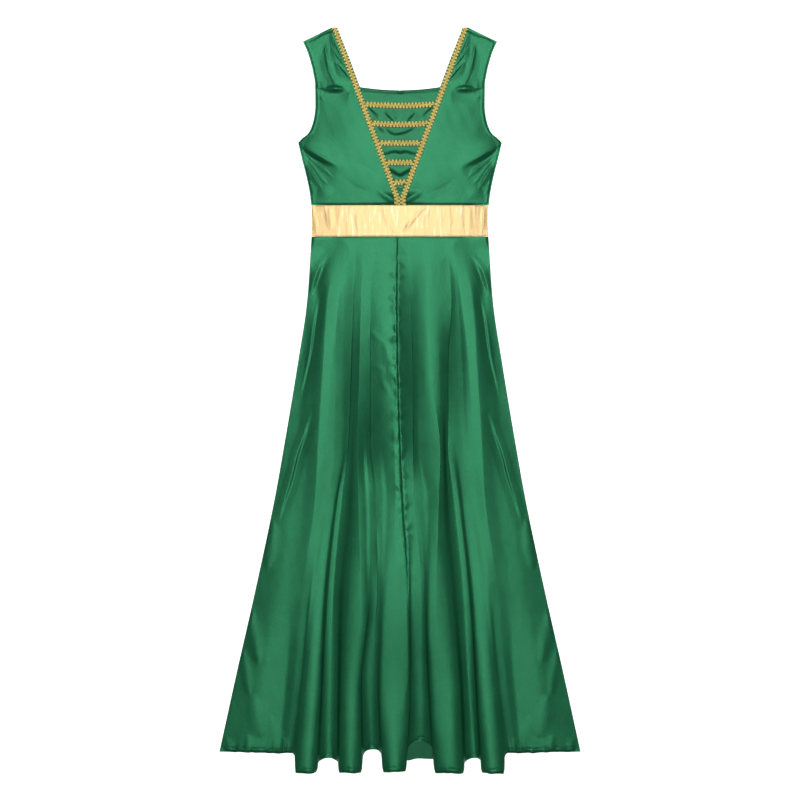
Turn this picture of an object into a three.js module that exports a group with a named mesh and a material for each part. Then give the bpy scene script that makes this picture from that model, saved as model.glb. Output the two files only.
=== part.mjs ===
// A sleeveless, floor-length dance dress laid out flat on its back.
// Frame: +Z up from the surface it lies on, +Y from hem to shoulders, +X to the right as seen from
// above, where the front faces up. "Left" and "right" are as seen that way. The origin is on the
// surface, under the middle of the dress. Each cut piece is its own closed wall of cloth.
// The back pieces lie flat on the surface. The front pieces lie on them, and rise in folds.
import * as THREE from "three";

// Driving sizes, in millimetres.
const CLOTH = 1.2; // wall of every cloth piece
const SEAM_GAP = 0.3; // space between pieces that are sewn together or lie on each other
const SHOULDER_TOP = 707.2; // height of the neck points up the dress
const WAISTBAND_TOP = 370;
const WAISTBAND_HEIGHT = 60;
const WAIST_SEAM = WAISTBAND_TOP - WAISTBAND_HEIGHT; // where the skirt starts
const WAIST_HALF = 168; // half of the flat waist
const NECK_HALF = 118.8; // neck point to the centre line
const SHOULDER_TIP = { x: 184.3, y: 680.8 };
const UNDERARM = { x: 193.5, y: 488.7 };
const V_TIP = 383; // where the two neck edges meet over the waistband
const BRAID_WIDTH = 10;
const BRAID_THICK = 1.6;
const BACK_NECK = 577; // bottom of the square back neckline
const BACK_NECK_INWARD = 2.6; // how far the back straps show inside the front ones

const HALF_GAP = SEAM_GAP / 2;
const REST_LEVEL = CLOTH + SEAM_GAP + CLOTH / 2; // middle of a front wall that lies on the back
const EDGE_SLOPE = NECK_HALF / (SHOULDER_TOP - V_TIP); // sideways run of the V edge for each mm down

const SATIN = { color: 0x2f8a5c, roughness: 0.35, metalness: 0 };
const GOLD_CLOTH = { color: 0xf3d896, roughness: 0.4, metalness: 0.4 };
const BRAID = { color: 0xd9b24a, roughness: 0.4, metalness: 0.5 };

const dress = new THREE.Group();

const mix = (a, b, share) => a + (b - a) * share;
const clamp01 = (t) => Math.min(1, Math.max(0, t));
const smooth = (t) => clamp01(t) ** 2 * (3 - 2 * clamp01(t));
const steps = (from, to, count) => Array.from({ length: count + 1 }, (_, i) => mix(from, to, i / count));

// A smooth curve through values at rising stations, with no overshoot between them.
function through(stations, values, at) {
  const last = stations.length - 1;
  const t = Math.min(stations[last], Math.max(stations[0], at));
  let k = 0;
  while (k < last - 1 && t > stations[k + 1]) k += 1;
  const slope = (i) => (values[i + 1] - values[i]) / (stations[i + 1] - stations[i]);
  const tangent = (i) => {
    if (i === 0) return slope(0);
    if (i === last) return slope(last - 1);
    const [before, after] = [slope(i - 1), slope(i)];
    return before * after <= 0 ? 0 : (2 * before * after) / (before + after);
  };
  const width = stations[k + 1] - stations[k];
  const s = (t - stations[k]) / width;
  const bend = width * (tangent(k) * (s - 1) + tangent(k + 1) * s) * s * (s - 1);
  return mix(values[k], values[k + 1], smooth(s)) + bend;
}

// A closed wall round a middle surface: pointAt(u, v) and normalAt(u, v) give THREE.Vector3,
// u runs to the right and v runs down the dress.
function clothWall(name, finish, us, vs, pointAt, normalAt, thickness = CLOTH) {
  const [columns, rows] = [us.length, vs.length];
  const positions = [];
  for (const side of [0.5, -0.5])
    for (const v of vs)
      for (const u of us)
        positions.push(...pointAt(u, v).addScaledVector(normalAt(u, v), side * thickness));
  const outer = (i, j) => j * columns + i;
  const inner = (i, j) => outer(i, j) + columns * rows;
  const indices = [];
  const quad = (a, b, c, d) => indices.push(a, b, c, a, c, d);
  for (let j = 0; j < rows - 1; j += 1)
    for (let i = 0; i < columns - 1; i += 1) {
      quad(outer(i, j), outer(i, j + 1), outer(i + 1, j + 1), outer(i + 1, j));
      quad(inner(i, j), inner(i + 1, j), inner(i + 1, j + 1), inner(i, j + 1));
    }
  for (let i = 0; i < columns - 1; i += 1) {
    quad(outer(i, 0), outer(i + 1, 0), inner(i + 1, 0), inner(i, 0));
    quad(outer(i + 1, rows - 1), outer(i, rows - 1), inner(i, rows - 1), inner(i + 1, rows - 1));
  }
  for (let j = 0; j < rows - 1; j += 1) {
    quad(outer(0, j + 1), outer(0, j), inner(0, j), inner(0, j + 1));
    const end = columns - 1;
    quad(outer(end, j), outer(end, j + 1), inner(end, j + 1), inner(end, j));
  }
  const geometry = new THREE.BufferGeometry();
  geometry.setAttribute("position", new THREE.Float32BufferAttribute(positions, 3));
  geometry.setIndex(indices);
  geometry.computeVertexNormals();
  addPiece(name, finish, geometry);
}

// A flat wall that lies on the surface, cut to a closed outline of [x, y] points.
function flatWall(name, finish, outline) {
  const shape = new THREE.Shape(outline.map(([x, y]) => new THREE.Vector2(x, y)));
  addPiece(name, finish, new THREE.ExtrudeGeometry(shape, { depth: CLOTH, bevelEnabled: false }));
}

function addPiece(name, finish, geometry) {
  const mesh = new THREE.Mesh(geometry, new THREE.MeshStandardMaterial(finish));
  mesh.name = name;
  dress.add(mesh);
}

// ---- Bodice and waistband: outline, and how far the front rises over the back ----

// Half of the bodice's width, up the side seam and then up the armhole.
const SIDE_SEAM = [
  { y: WAISTBAND_TOP, half: WAIST_HALF + 0.7 },
  { y: 390, half: 171 },
  { y: 421, half: 177 },
  { y: 460, half: 186.8 },
  { y: UNDERARM.y, half: UNDERARM.x },
];
const ARMHOLE = [
  { y: UNDERARM.y, half: UNDERARM.x },
  { y: 497, half: 185.6 },
  { y: 504.5, half: 176.1 },
  { y: 512, half: 171 },
  { y: 523.5, half: 166.6 },
  { y: 538.7, half: 163 },
  { y: 558, half: 161 },
  { y: 599.5, half: 161.5 },
  { y: 622, half: 165 },
  { y: 645, half: 170.6 },
  { y: 664, half: 176.7 },
  { y: SHOULDER_TIP.y, half: SHOULDER_TIP.x },
];
const halfFrom = (table, y) => through(table.map((p) => p.y), table.map((p) => p.half), y);
const bodiceHalf = (y) => halfFrom(y >= UNDERARM.y ? ARMHOLE : SIDE_SEAM, y);

// Distance of the V edge, which the braid follows, from the centre line.
const vEdge = (y) => Math.max(0, (y - V_TIP) * EDGE_SLOPE);

// Greatest rise of the front over its resting level, down the dress.
const FRONT_RISE = [
  { y: WAIST_SEAM, rise: 3 },
  { y: 340, rise: 3.5 },
  { y: WAISTBAND_TOP, rise: 4 },
  { y: 430, rise: 6 },
  { y: 500, rise: 6 },
  { y: 600, rise: 3 },
  { y: 680, rise: 0.9 },
  { y: SHOULDER_TOP, rise: 0.2 },
];
const RISE_FADE = 3; // how sharply the rise falls away at the side edges

// The larger bodice folds on the left half, each along a line; the right half mirrors them.
const BODICE_FOLDS = [
  { fold: "strap_trough", from: [-139, 661], to: [-122, 598], half_width: 8, rise: -1.5 },
  { fold: "shoulder_hollow", from: [-132, 590], to: [-112, 588], half_width: 9, rise: -1.8 },
  { fold: "neck_ridge", from: [-126, 668], to: [-104, 622], half_width: 7, rise: 1.2 },
  { fold: "underarm_trough", from: [-180, 481], to: [-142, 460], half_width: 10, rise: -2 },
  { fold: "underarm_ridge", from: [-178, 470], to: [-138, 424], half_width: 8, rise: 2.2 },
  { fold: "side_trough", from: [-172, 452], to: [-152, 404], half_width: 8, rise: -1.6 },
  { fold: "waist_hollow", from: [-40, 380], to: [-14, 386], half_width: 9, rise: -1.6 },
];

// A soft ridge or trough along a line, fading at its ends.
function foldRise(fold, x, y) {
  const [dx, dy] = [fold.to[0] - fold.from[0], fold.to[1] - fold.from[1]];
  const length = Math.hypot(dx, dy);
  const along = ((x - fold.from[0]) * dx + (y - fold.from[1]) * dy) / length;
  const across = ((x - fold.from[0]) * dy - (y - fold.from[1]) * dx) / length;
  const past = Math.max(0, -along, along - length);
  return fold.rise * Math.exp(-(across ** 2 + past ** 2) / fold.half_width ** 2);
}

const folded = (x, y) => BODICE_FOLDS.reduce((sum, fold) => sum + foldRise(fold, -Math.abs(x), y), 0);

function frontHeight(x, y) {
  const half = y >= WAISTBAND_TOP ? bodiceHalf(y) : WAIST_HALF;
  const inside = 1 - clamp01(Math.abs(x) / half) ** RISE_FADE;
  const most = through(FRONT_RISE.map((r) => r.y), FRONT_RISE.map((r) => r.rise), y);
  const edge = smooth(inside / 0.25); // folds die out at the seams
  const folds = y > WAISTBAND_TOP ? folded(x, y) * edge * smooth((y - WAISTBAND_TOP) / 12) : 0;
  return REST_LEVEL + Math.max(0, most * inside + folds);
}

const PROBE = 0.5; // step for slopes, in millimetres
function frontNormal(x, y) {
  const slopeX = (frontHeight(x + PROBE, y) - frontHeight(x - PROBE, y)) / (2 * PROBE);
  const slopeY = (frontHeight(x, y + PROBE) - frontHeight(x, y - PROBE)) / (2 * PROBE);
  return new THREE.Vector3(-slopeX, -slopeY, 1).normalize();
}

// A wall on the front's surface whose plan is planAt(u, v) -> [x, y], lifted off it by a distance.
function frontWall(name, finish, us, vs, planAt, lift = 0, thickness = CLOTH) {
  const pointAt = (u, v) => {
    const [x, y] = planAt(u, v);
    return new THREE.Vector3(x, y, frontHeight(x, y)).addScaledVector(frontNormal(x, y), lift);
  };
  clothWall(name, finish, us, vs, pointAt, (u, v) => frontNormal(...planAt(u, v)), thickness);
}

// ---- Bodice front: two side fronts and the inset between them ----

const BRAID_RUN = BRAID_WIDTH * Math.hypot(1, EDGE_SLOPE); // the braid's width measured level
const SIDE_FRONT = { columns: 12, armhole_rows: 14, side_rows: 8 };
const UNDER_BRAID = [1, 1.5, 2]; // columns of the side front that carry the braid

// Plan of the left side front: u is 0 at the armhole, 1 at the braid's outer edge and 2 at the V
// edge. v is 0 at the shoulder, 1 at the underarm and 2 at the waistband.
function sideFrontPlan(u, v) {
  const outerY = v <= 1 ? mix(SHOULDER_TIP.y, UNDERARM.y, v) : mix(UNDERARM.y, WAISTBAND_TOP, v - 1);
  const outerX = -bodiceHalf(outerY) + HALF_GAP;
  const innerY = mix(SHOULDER_TOP, WAISTBAND_TOP, v / 2);
  const innerX = -vEdge(innerY) - HALF_GAP;
  const braidShare = BRAID_RUN / (innerX - outerX);
  const share = u <= 1 ? u * (1 - braidShare) : 1 - (2 - u) * braidShare;
  const y = mix(outerY, innerY, Math.min(1, u)); // rows run level across the braid
  return [mix(outerX, innerX, share), Math.max(WAISTBAND_TOP + HALF_GAP, y)];
}

// The same plan on the right.
function rightFrontPlan(u, v) {
  const [x, y] = sideFrontPlan(2 - u, v);
  return [-x, y];
}

const sideFrontRows = [
  ...steps(0, 1, SIDE_FRONT.armhole_rows),
  ...steps(1, 2, SIDE_FRONT.side_rows).slice(1),
];
const leftFrontColumns = [...steps(0, 1, SIDE_FRONT.columns), ...UNDER_BRAID.slice(1)];
const rightFrontColumns = leftFrontColumns.map((u) => 2 - u).reverse();
frontWall("bodice_front_left", SATIN, leftFrontColumns, sideFrontRows, sideFrontPlan);
frontWall("bodice_front_right", SATIN, rightFrontColumns, sideFrontRows, rightFrontPlan);

// Level of the inset's top edge and of each bar's centre line at the V edges, and how far each
// sags in the middle.
const INSET_TOP = { y: 594, sag: 8.5 };
const BRAID_BARS = [
  { y: 561, sag: 2.5 },
  { y: 525, sag: 2.5 },
  { y: 487.5, sag: 0.6 },
  { y: 450.5, sag: 0 },
  { y: 413.5, sag: 0.6 },
];
const INSET_TIP = V_TIP + 5; // the inset stops just above the point of the V
const SAGS = [INSET_TOP, ...BRAID_BARS, { y: INSET_TIP, sag: 0 }].reverse();

// Plan of the inset: u runs from V edge to V edge, v is the level at those edges.
function insetPlan(u, v) {
  const y = v - through(SAGS.map((s) => s.y), SAGS.map((s) => s.sag), v) * (1 - u ** 2);
  return [u * (vEdge(y) - HALF_GAP), y];
}

const barRows = (bar) => [bar.y + BRAID_WIDTH / 2, bar.y, bar.y - BRAID_WIDTH / 2];
const insetRows = [INSET_TOP.y, 580, ...BRAID_BARS.flatMap(barRows), INSET_TIP];
const insetColumns = steps(-1, 1, 12);
frontWall("bodice_inset", SATIN, insetColumns, insetRows, insetPlan);

// ---- Waistband front ----

frontWall("waistband_front", GOLD_CLOTH, steps(-1, 1, 24), steps(0, 1, 4), (u, v) => [
  u * (WAIST_HALF - HALF_GAP),
  mix(WAISTBAND_TOP - HALF_GAP, WAIST_SEAM + HALF_GAP, v),
]);

// ---- Gold braid: two strips down the V and five bars across the inset ----

const BRAID_LIFT = CLOTH / 2 + SEAM_GAP + BRAID_THICK / 2;
function braid(name, us, vs, planAt) {
  frontWall(name, BRAID, us, vs, planAt, BRAID_LIFT, BRAID_THICK);
}

braid("braid_v_left", UNDER_BRAID, sideFrontRows, sideFrontPlan);
braid("braid_v_right", UNDER_BRAID.map((u) => 2 - u).reverse(), sideFrontRows, rightFrontPlan);
BRAID_BARS.forEach((bar, index) => {
  braid(`braid_bar_${index + 1}`, insetColumns, barRows(bar), insetPlan);
});

// ---- Skirt front: flutes and soft folds that fan out from the waist ----

// Shares of the way from waist seam to hem where the tables below give sizes.
const STATIONS = [0, 0.12, 0.31, 0.5, 0.69, 0.85, 1];

// Fold lines from the left side seam to the middle of the skirt, then to the right.
// x: sideways place at each station. rise: height over the resting level from the second station
// on. hem: length from waist seam to hem.
const SIDES = {
  side_seam: { x: [-168, -176, -203.5, -236.5, -275.5, -311, -343], rise: [0, 0, 0, 0, 0, 0], hem: 978 },
  side_swell: { x: [-158, -165, -186, -209, -230, -252, -274], rise: [2, 4, 5, 6, 7, 6], hem: 980 },
  side_dip: { x: [-146, -154, -169, -185, -206, -222, -238], rise: [1, 1, 2, 2, 2, 1], hem: 980 },
  hip_ridge: { x: [-129, -141, -149, -162, -182, -199, -223], rise: [6, 9, 10, 8, 5, 2], hem: 980 },
  hip_dip: { x: [-122, -133, -143, -151, -169, -187, -212], rise: [5, 7, 6, 3, 1, 0], hem: 980 },
};
const FLUTES = {
  flute_1: { x: [-112, -122, -131, -137, -150, -163, -177], rise: [8, 11, 14, 18, 23, 27], hem: 1017 },
  flute_2: { x: [-66, -70, -74, -73, -84, -97, -93], rise: [4, 4, 6, 10, 18, 26], hem: 1016 },
  flute_3: { x: [-27, -25, -21, -17, -10, -8, -8.5], rise: [7, 6, 6, 9, 15, 24], hem: 1014.5 },
  flute_4: { x: [57, 59, 61, 63, 73, 87, 95], rise: [7, 8, 9, 13, 21, 27], hem: 1017 },
  flute_5: { x: [112, 122, 131, 138, 150, 163, 177], rise: [8, 11, 13, 17, 22, 26], hem: 1017 },
};
const VALLEYS = {
  valley_1: { x: [-84, -89, -96, -102, -117, -131, -135], rise: [2, 1, 0, 0, 0, 0], hem: 977 },
  valley_2: { x: [-49, -51, -53, -49, -49, -54, -50], rise: [4, 1, 0, 0, 0, 0], hem: 974 },
  valley_3: { x: [17, 19, 25, 30, 44, 53, 39], rise: [2, 1, 0, 0, 0, 0], hem: 958 },
  valley_4: { x: [85, 89, 93, 98, 111, 127, 139], rise: [2, 1, 0, 0, 0, 0], hem: 977 },
};
// Left and right edge of each flute at the hem.
const FLUTE_EDGES = {
  flute_1: [-199.5, -153],
  flute_2: [-115.5, -70.5],
  flute_3: [-29, 12.5],
  flute_4: [64, 127],
  flute_5: [152.5, 198.5],
};
const line = (table, name) => ({ name, ...table[name], edges: FLUTE_EDGES[name] });
const SIDE_LINES = Object.keys(SIDES).map((name) => line(SIDES, name));
const MIDDLE_LINES = [
  line(FLUTES, "flute_1"),
  line(VALLEYS, "valley_1"),
  line(FLUTES, "flute_2"),
  line(VALLEYS, "valley_2"),
  line(FLUTES, "flute_3"),
  line(VALLEYS, "valley_3"),
  line(FLUTES, "flute_4"),
  line(VALLEYS, "valley_4"),
  line(FLUTES, "flute_5"),
];
const mirrored = (row) => ({ ...row, x: row.x.map((x) => -x) });
const SKIRT_LINES = [...SIDE_LINES, ...MIDDLE_LINES, ...SIDE_LINES.map(mirrored).reverse()];
const CENTRE_SEAM = SKIRT_LINES.findIndex((row) => row.name === "flute_3") + 0.5; // on a flank
const STEEP_FROM = 0.45; // share of the way down where the flanks start to stand up
const STEEPEST = 0.92; // 1 would stand a flank upright at the hem

const steepness = (v) => STEEPEST * smooth((v - STEEP_FROM) / (1 - STEEP_FROM));
const lineX = (row, v) => through(STATIONS, row.x, v);
function lineRise(row, v) {
  const atWaist = frontHeight(row.x[0], WAIST_SEAM) - REST_LEVEL;
  return through(STATIONS, [atWaist, ...row.rise], v);
}

// Place of the flank between two fold lines.
function flankX(a, b, v) {
  const middle = (lineX(a, v) + lineX(b, v)) / 2;
  const edge = a.edges?.[1] ?? b.edges?.[0] ?? mix(a.x.at(-1), b.x.at(-1), 0.5);
  const atHem = mix(a.x.at(-1), b.x.at(-1), 0.5);
  return middle + (edge - atHem) * smooth((v - STEEP_FROM) / (1 - STEEP_FROM));
}

// Share of the way from one line's hem length to the next. A flute keeps its length over its
// whole arch, and the hem then runs back to the valley.
function hemShare(a, b, s) {
  if (a.edges) return smooth((s - 0.32) / 0.48);
  return b.edges ? 1 - smooth((0.68 - s) / 0.48) : smooth(s);
}

// A point of the skirt front: u counts fold lines from the left seam, v runs from waist to hem.
function skirtPoint(u, v) {
  const k = Math.min(SKIRT_LINES.length - 2, Math.max(0, Math.floor(u)));
  const s = u - k;
  const [a, b] = [SKIRT_LINES[k], SKIRT_LINES[k + 1]];
  const upright = steepness(v);
  const ease = (t) => mix(t, Math.sin((t * Math.PI) / 2), upright);
  const flank = flankX(a, b, v);
  const x = s < 0.5 ? mix(lineX(a, v), flank, ease(2 * s)) : mix(lineX(b, v), flank, ease(2 - 2 * s));
  const y = WAIST_SEAM - HALF_GAP - v * mix(a.hem, b.hem, hemShare(a, b, s));
  return new THREE.Vector3(x, y, REST_LEVEL + mix(lineRise(a, v), lineRise(b, v), smooth(s)));
}

const PROBE_SHARE = 0.002;
function skirtNormal(u, v) {
  const top = SKIRT_LINES.length - 1;
  const right = skirtPoint(Math.min(top, u + PROBE_SHARE), v);
  const left = skirtPoint(Math.max(0, u - PROBE_SHARE), v);
  const up = skirtPoint(u, Math.max(0, v - PROBE_SHARE));
  const down = skirtPoint(u, Math.min(1, v + PROBE_SHARE));
  return right.sub(left).cross(up.sub(down)).normalize();
}

const SEAM_SHARE = 0.0045; // half the centre seam's gap, as a share of the span it crosses
const SKIRT_ROWS = 20;
const FLUTE_STEPS = 6; // columns in the span beside a flute
const SOFT_STEPS = 3; // columns in the other spans

// Columns from one place to another, with more of them beside a flute.
function skirtColumns(from, to) {
  const columns = [from];
  for (let k = Math.floor(from); k < to; k += 1) {
    const [a, b] = [SKIRT_LINES[k], SKIRT_LINES[k + 1]];
    const count = a.edges || b.edges ? FLUTE_STEPS : SOFT_STEPS;
    for (let i = 1; i <= count; i += 1) {
      const u = k + i / count;
      if (u > from + 1e-3 && u < to - 1e-3) columns.push(u);
    }
  }
  return [...columns, to];
}

const skirtRows = steps(0, 1, SKIRT_ROWS);
const leftColumns = skirtColumns(0, CENTRE_SEAM - SEAM_SHARE);
const rightColumns = skirtColumns(CENTRE_SEAM + SEAM_SHARE, SKIRT_LINES.length - 1);
clothWall("skirt_front_left", SATIN, leftColumns, skirtRows, skirtPoint, skirtNormal);
clothWall("skirt_front_right", SATIN, rightColumns, skirtRows, skirtPoint, skirtNormal);

// ---- Back: plain pieces that lie flat, with the same outline as the front ----

const mirrorOutline = (half) => [...half, ...half.map(([x, y]) => [-x, y]).reverse()];

const backNeckEdge = (y) => vEdge(y) - BACK_NECK_INWARD * clamp01((SHOULDER_TOP - y) / 60);
flatWall(
  "bodice_back",
  SATIN,
  mirrorOutline([
    [backNeckEdge(BACK_NECK), BACK_NECK],
    ...steps(BACK_NECK + 40, SHOULDER_TOP, 3).map((y) => [backNeckEdge(y), y]),
    [NECK_HALF + BRAID_RUN, SHOULDER_TOP],
    ...steps(SHOULDER_TIP.y, UNDERARM.y, 14).map((y) => [bodiceHalf(y), y]),
    ...steps(UNDERARM.y, WAISTBAND_TOP + HALF_GAP, 4).slice(1).map((y) => [bodiceHalf(y), y]),
  ]),
);

flatWall(
  "waistband_back",
  GOLD_CLOTH,
  mirrorOutline([
    [WAIST_HALF, WAISTBAND_TOP - HALF_GAP],
    [WAIST_HALF, WAIST_SEAM + HALF_GAP],
  ]),
);

// The back hem, which shows in the valleys of the front hem: length below the waist seam.
const BACK_HEM = [
  { x: -343, length: 978 },
  { x: -205, length: 980 },
  { x: -150, length: 986 },
  { x: -116, length: 995 },
  { x: -90, length: 990 },
  { x: -68, length: 972 },
  { x: -30, length: 972 },
  { x: 14, length: 995 },
  { x: 34, length: 991 },
  { x: 62, length: 995 },
  { x: 125, length: 996 },
  { x: 150, length: 985 },
  { x: 205, length: 980 },
  { x: 343, length: 978 },
];
const backHemLength = (x) => through(BACK_HEM.map((p) => p.x), BACK_HEM.map((p) => p.length), x);
const seamLine = SKIRT_LINES[0];
const seamPlan = (v) => [lineX(seamLine, v), WAIST_SEAM - HALF_GAP - v * seamLine.hem];
const backSide = steps(0, 1, 14).map(seamPlan);
const hemHalf = Math.abs(backSide.at(-1)[0]);
const backHem = steps(-hemHalf, hemHalf, 60).map((x) => [x, WAIST_SEAM - backHemLength(x)]);
flatWall("skirt_back", SATIN, [
  ...backSide,
  ...backHem.slice(1, -1),
  ...backSide.map(([x, y]) => [-x, y]).reverse(),
]);

export default dress;
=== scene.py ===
"""A sleeveless dance dress in green satin with gold trim, laid out flat on its back.

Sizes are in millimetres until a mesh is made. +Y runs from hem to shoulders and +Z up through the
front. Every panel is a thin wall of cloth round a middle surface worked out from the tables here.
"""
import bpy
import numpy as np
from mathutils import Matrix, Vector


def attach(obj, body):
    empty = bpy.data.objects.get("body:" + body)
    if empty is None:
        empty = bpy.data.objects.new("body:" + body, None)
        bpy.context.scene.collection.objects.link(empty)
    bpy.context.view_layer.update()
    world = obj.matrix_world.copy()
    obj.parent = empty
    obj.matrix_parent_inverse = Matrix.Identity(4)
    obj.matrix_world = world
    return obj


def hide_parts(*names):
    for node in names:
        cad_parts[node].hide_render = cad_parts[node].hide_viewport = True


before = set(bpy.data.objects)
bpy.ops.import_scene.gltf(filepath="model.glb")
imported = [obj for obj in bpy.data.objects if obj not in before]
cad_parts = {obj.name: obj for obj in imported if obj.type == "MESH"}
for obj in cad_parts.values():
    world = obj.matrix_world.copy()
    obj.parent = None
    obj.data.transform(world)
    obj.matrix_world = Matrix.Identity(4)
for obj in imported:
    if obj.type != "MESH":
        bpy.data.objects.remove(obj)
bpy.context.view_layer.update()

MM = 0.001

# ---- Sizes shared with the solids ----
CLOTH, BACK_CLOTH = 1.0, 1.2
GAP = 0.3
SHOULDER_TOP, WAISTBAND_TOP, WAIST_SEAM = 707.2, 370.0, 310.0
WAIST_HALF, NECK_HALF, V_TIP = 168.0, 118.8, 383.0
TIP_HALF, TIP_Y = 184.3, 680.8
UNDER_HALF, UNDER_Y = 193.5, 488.7
BRAID_WIDTH = 10.0
BACK_NECK, BACK_NECK_INWARD = 577.0, 1.6
HEM_HALF, SIDE_LENGTH, SKIRT_LENGTH = 343, 978, 985
# Height of the middle of the front cloth where it rests on the back, half a cloth and 0.1 over the gap
REST = BACK_CLOTH + GAP + 0.6
EDGE_SLOPE = NECK_HALF / (SHOULDER_TOP - V_TIP)
BRAID_RUN = BRAID_WIDTH * np.hypot(1, EDGE_SLOPE)


def mix(a, b, s):
    return a + (b - a) * s


def smooth(t):
    t = np.clip(t, 0, 1)
    return t * t * (3 - 2 * t)


def tangents(steps):
    """Slope at each point of a row, from the slopes between them: none where they change sign."""
    before, after = steps[:-1], steps[1:]
    same = before * after > 0
    inner = np.where(same, 2 * before * after / np.where(same, before + after, 1), 0)
    return np.concatenate([steps[:1], inner, steps[-1:]])


def through(stations, values, at):
    """A smooth curve through values at rising stations, with no overshoot between them."""
    xs, ys = np.asarray(stations, float), np.asarray(values, float)
    tangent = tangents(np.diff(ys) / np.diff(xs))
    t = np.clip(at, xs[0], xs[-1])
    k = np.clip(np.searchsorted(xs, t, side="right") - 1, 0, len(xs) - 2)
    width = xs[k + 1] - xs[k]
    s = (t - xs[k]) / width
    bend = width * (tangent[k] * (s - 1) + tangent[k + 1] * s) * s * (s - 1)
    return mix(ys[k], ys[k + 1], smooth(s)) + bend


def from_table(rows, at):
    return through([r[0] for r in rows], [r[1] for r in rows], at)


WAVES = 6
PATH_PARTS = 16


def waver(x, y, seed, size):
    """Smooth seeded unevenness from -1 to 1, with patches of about the given size."""
    rng = np.random.default_rng(seed)
    total = 0
    for _ in range(WAVES):
        angle, phase = rng.uniform(0, 2 * np.pi), rng.uniform(0, 2 * np.pi)
        scale = rng.uniform(0.6, 1.6)
        along = x * np.cos(angle) + y * np.sin(angle)
        total = total + np.sin(along * 2 * np.pi / (size * scale) + phase)
    return total / WAVES


def crease(x, y, path, width, height, kind):
    """A ridge, or a trough where height is below 0, along a path of [x, y] points, narrower
    towards both ends. A fold is sharp along its path and a swell is round. A dent is a long cone.
    A tuck falls steeply on the left of its path and slowly on the right. A step is high on the
    left, low on the right and steepest along its path."""
    path = np.asarray(path, float)
    run = np.concatenate([[0], np.cumsum(np.hypot(*np.diff(path, axis=0).T))])
    t = np.linspace(0, 1, PATH_PARTS + 1)
    px, py = through(run / run[-1], path[:, 0], t), through(run / run[-1], path[:, 1], t)
    out = np.zeros(np.broadcast(x, y).shape)
    reach = width * 6
    near = (x > px.min() - reach) & (x < px.max() + reach)
    near &= (y > py.min() - reach) & (y < py.max() + reach)
    if not near.any():
        return out
    qx, qy = np.broadcast_to(x, out.shape)[near], np.broadcast_to(y, out.shape)[near]
    best, along, side = np.full(qx.shape, 1e9), np.zeros(qx.shape), np.zeros(qx.shape)
    for i in range(PATH_PARTS):
        dx, dy = px[i + 1] - px[i], py[i + 1] - py[i]
        s = np.clip(((qx - px[i]) * dx + (qy - py[i]) * dy) / (dx * dx + dy * dy), 0, 1)
        far = np.hypot(qx - px[i] - s * dx, qy - py[i] - s * dy)
        closer = far < best
        best = np.where(closer, far, best)
        along = np.where(closer, (i + s) / PATH_PARTS, along)
        left = ((qy - py[i]) * dx - (qx - px[i]) * dy) / np.hypot(dx, dy)
        side = np.where(closer, left, side)
    if kind in ("tuck", "step"):
        share = np.maximum(0, 1 - (2 * along - 1) ** 2)
    elif kind == "dent":
        share = np.ones(along.shape)
    else:
        share = np.sqrt(np.clip(1.01 - (2 * along - 1) ** 2, 0.0001, 1))
    span = width * np.maximum(0.2, share)
    if kind == "tuck":
        out_by = best / span / np.where(side > 0, 0.8, 2.8)
        across = np.logaddexp(0, 8 * (1 - out_by)) / 8
    elif kind == "dent":
        out_by = np.hypot(np.hypot(2 * along - 1, best / width), 0.04)
        across = np.logaddexp(0, 12 * (1 - out_by)) / 12 * smooth((1.6 - out_by) / 0.6)
    elif kind == "step":
        out_by = side / width
        across = 2 * out_by / (1 + out_by**2) * smooth((6 - best / width) / 3)
    elif kind == "swell":
        across = np.exp(-((best / span) ** 2))
    else:
        across = np.exp(0.15 - np.sqrt((1.25 * best / span) ** 2 + 0.0225)) * smooth(4 - best / span)
    out[near] = height * across * share
    return out


# ---- Camera, light and floor ----
CAMERA_HEIGHT = 5.0
PHOTO_WIDTH = 1.52

camera = bpy.data.objects.new("camera", bpy.data.cameras.new("camera"))
camera.data.sensor_width = 36.0
camera.data.lens = 36.0 * CAMERA_HEIGHT / PHOTO_WIDTH
camera.location = (0, 0, CAMERA_HEIGHT)
bpy.context.scene.collection.objects.link(camera)
bpy.context.scene.camera = camera


def area_light(name, place, size, power, aim=(0, 0, 0)):
    data = bpy.data.lights.new(name, "AREA")
    data.shape, data.size, data.size_y, data.energy = "RECTANGLE", size[0], size[1], power
    lamp = bpy.data.objects.new(name, data)
    lamp.location = place
    direction = np.asarray(place, float) - np.asarray(aim, float)
    lamp.rotation_euler = Vector(direction).to_track_quat("Z", "Y").to_euler()
    bpy.context.scene.collection.objects.link(lamp)


area_light("soft_top", (0.0, 1.6, 6.2), (1.1, 3.4), 160, (0, 1.0, 0))
area_light("soft_low", (0.0, -1.0, 6.2), (1.1, 1.8), 50)
area_light("soft_left", (-3.8, 0.2, 3.2), (1.6, 3.0), 10)
area_light("soft_right", (3.8, 0.2, 3.2), (1.6, 3.0), 10)

world = bpy.data.worlds.new("studio")
bpy.context.scene.world = world
world.use_nodes = True
world.node_tree.nodes["Background"].inputs["Color"].default_value = (1, 1, 1, 1)
world.node_tree.nodes["Background"].inputs["Strength"].default_value = 0.16
bpy.context.scene.view_settings.view_transform = "Standard"


# ---- Materials ----
def new_material(name):
    material = bpy.data.materials.new(name)
    material.use_nodes = True
    tree = material.node_tree
    return material, tree, tree.nodes["Principled BSDF"]


def node(tree, kind, **settings):
    made = tree.nodes.new(kind)
    for key, value in settings.items():
        if key in made.inputs:
            made.inputs[key].default_value = value
        else:
            setattr(made, key, value)
    return made


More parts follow.
